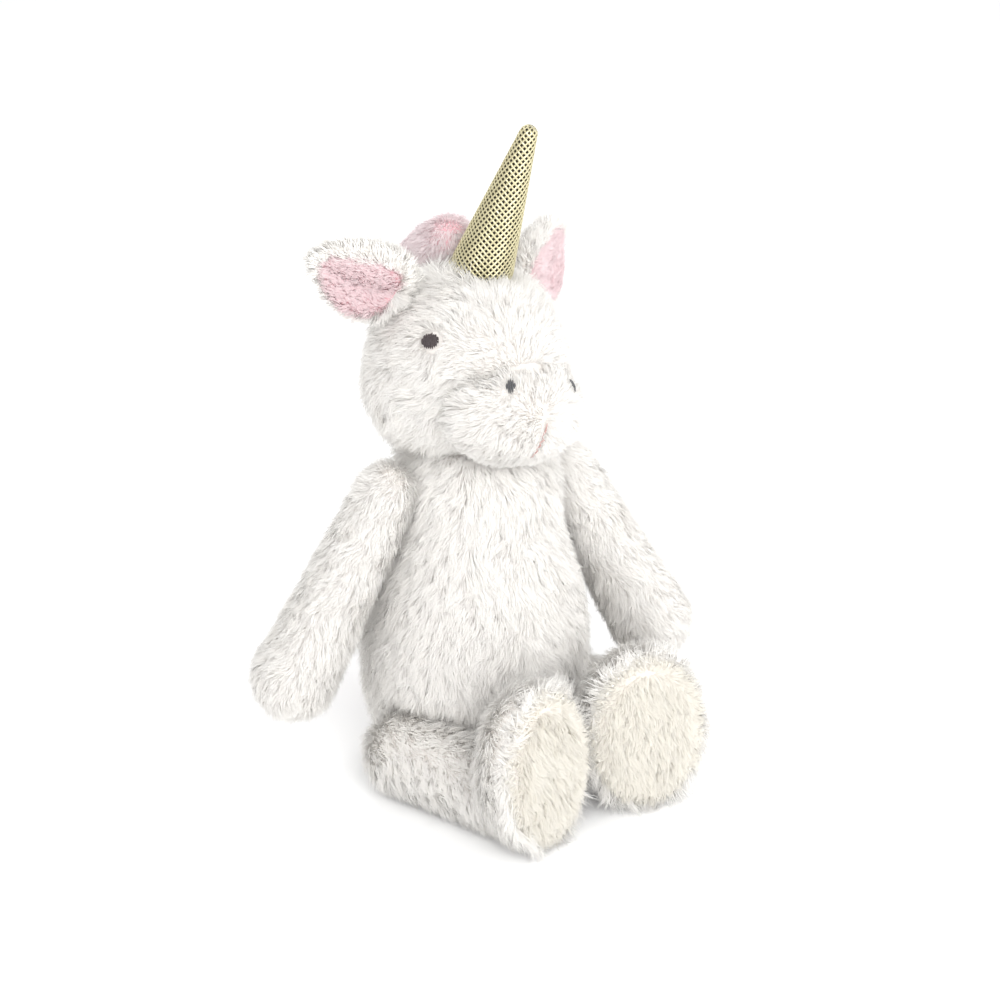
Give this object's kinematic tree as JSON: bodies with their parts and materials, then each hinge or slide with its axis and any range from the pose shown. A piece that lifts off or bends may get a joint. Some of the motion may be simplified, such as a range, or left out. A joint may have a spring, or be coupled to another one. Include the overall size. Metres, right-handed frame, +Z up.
{
  "type": "plush unicorn",
  "caption": "Seated plush unicorn with jointed floppy head, limbs and ears, a net-covered horn and bean-weighted seat.",
  "frame": {"origin": "middle of the flat seat, on the floor", "axes": "+Z up, the toy faces -Y, its own left is +X"},
  "size_m": [0.1652, 0.1483, 0.2438],
  "materials": {
    "white_plush": "ivory pile plush, long soft nap",
    "sole_plush": "cream short pile plush",
    "pink_plush": "pale pink pile plush",
    "gold_net": "gold metallised cloth pierced with a close grid of holes",
    "dark_lining": "black woven lining",
    "grey_thread": "charcoal satin-stitched thread",
    "white_thread": "spun polyester thread",
    "rose_thread": "dusty rose thread",
    "fibre_fill": "loose polyester fibre",
    "bag_cloth": "close-woven cotton",
    "pellet": "smooth polyethylene pellets",
    "label_tape": "white satin tape, blank"
  },
  "bodies": {
    "torso": {"torso_cover": "white_plush", "torso_stuffing": "fibre_fill", "seat_pellet_bag": "bag_cloth", "seat_pellets": "pellet", "back_closing_stitches": "white_thread", "care_label": "label_tape", "tail_stitches": "white_thread"},
    "neck_seam": {"neck_stitches": "white_thread"},
    "head": {"head_cover": "white_plush", "head_stuffing": "fibre_fill", "muzzle_cover": "white_plush", "muzzle_stuffing": "fibre_fill", "mane_cover": "pink_plush", "mane_stuffing": "fibre_fill", "eye_right": "grey_thread", "eye_left": "grey_thread", "nostril_right": "grey_thread", "nostril_left": "grey_thread", "mouth_stitches": "rose_thread", "horn_stitches": "white_thread", "ear_stitches_right": "white_thread", "ear_stitches_left": "white_thread"},
    "horn": {"horn_sleeve": "gold_net", "horn_lining": "dark_lining", "horn_stuffing": "fibre_fill"},
    "ear_right": {"ear_back_right": "white_plush", "ear_lining_right": "pink_plush"},
    "ear_left": {"ear_back_left": "white_plush", "ear_lining_left": "pink_plush"},
    "shoulder_right": {"shoulder_stitches_right": "white_thread"},
    "arm_right": {"arm_cover_right": "white_plush", "arm_stuffing_right": "fibre_fill"},
    "shoulder_left": {"shoulder_stitches_left": "white_thread"},
    "arm_left": {"arm_cover_left": "white_plush", "arm_stuffing_left": "fibre_fill"},
    "hip_right": {"hip_stitches_right": "white_thread"},
    "leg_right": {"leg_cover_right": "white_plush", "leg_stuffing_right": "fibre_fill", "sole_pad_right": "sole_plush", "sole_stitches_right": "white_thread"},
    "hip_left": {"hip_stitches_left": "white_thread"},
    "leg_left": {"leg_cover_left": "white_plush", "leg_stuffing_left": "fibre_fill", "sole_pad_left": "sole_plush", "sole_stitches_left": "white_thread"},
    "tail": {"tail_cover": "pink_plush", "tail_stuffing": "fibre_fill"}
  },
  "joints": [
    {"name": "neck_turn", "type": "hinge", "parent": "torso", "child": "neck_seam", "pos_m": [0, 0, 0.108], "axis": [0, 0, 1], "range_deg": [-30, 30]},
    {"name": "head_nod", "type": "hinge", "parent": "neck_seam", "child": "head", "pos_m": [0, 0, 0.108], "axis": [0.9994, 0.0349, 0], "range_deg": [-8, 14]},
    {"name": "horn_wobble", "type": "hinge", "parent": "head", "child": "horn", "pos_m": [0.00707, 0.00425, 0.19126], "axis": [0.9776, 0.0341, -0.2079], "range_deg": [-7, 7], "stiffness_Nm_per_rad": 0.12},
    {"name": "ear_flop_right", "type": "hinge", "parent": "head", "child": "ear_right", "pos_m": [-0.02394, 0.00822, 0.18387], "axis": [0.3618, -0.4129, 0.8358], "range_deg": [-16, 16], "stiffness_Nm_per_rad": 0.03},
    {"name": "arm_swing_right", "type": "hinge", "parent": "torso", "child": "shoulder_right", "pos_m": [-0.0375, 0.002, 0.116], "axis": [-1, 0, 0], "range_deg": [-25, 28]},
    {"name": "arm_lift_right", "type": "hinge", "parent": "shoulder_right", "child": "arm_right", "pos_m": [-0.0375, 0.002, 0.116], "axis": [0, 0.9816, 0.1908], "range_deg": [0, 50]},
    {"name": "leg_spread_right", "type": "hinge", "parent": "torso", "child": "hip_right", "pos_m": [-0.04026, -0.01154, 0.016], "axis": [0, 0, -1], "range_deg": [0, 28]},
    {"name": "leg_raise_right", "type": "hinge", "parent": "hip_right", "child": "leg_right", "pos_m": [-0.04026, -0.01154, 0.016], "axis": [-0.9659, -0.2588, 0], "range_deg": [-8, 14]},
    {"name": "ear_flop_left", "type": "hinge", "parent": "head", "child": "ear_left", "pos_m": [0.03205, 0.01017, 0.17196], "axis": [0.5223, 0.1564, -0.8383], "range_deg": [-16, 16], "stiffness_Nm_per_rad": 0.03},
    {"name": "arm_swing_left", "type": "hinge", "parent": "torso", "child": "shoulder_left", "pos_m": [0.0375, 0.002, 0.116], "axis": [-0.9397, 0.342, 0], "range_deg": [-25, 14]},
    {"name": "arm_lift_left", "type": "hinge", "parent": "shoulder_left", "child": "arm_left", "pos_m": [0.0375, 0.002, 0.116], "axis": [-0.3307, -0.9086, 0.2549], "range_deg": [0, 50]},
    {"name": "leg_spread_left", "type": "hinge", "parent": "torso", "child": "hip_left", "pos_m": [0.04026, -0.01154, 0.016], "axis": [0, 0, 1], "range_deg": [0, 28]},
    {"name": "leg_raise_left", "type": "hinge", "parent": "hip_left", "child": "leg_left", "pos_m": [0.04026, -0.01154, 0.016], "axis": [-0.9659, 0.2588, 0], "range_deg": [-8, 14]},
    {"name": "tail_swing", "type": "hinge", "parent": "torso", "child": "tail", "pos_m": [0, 0.04242, 0.026], "axis": [0, 0, 1], "range_deg": [-20, 20], "stiffness_Nm_per_rad": 0.01}
  ]
}
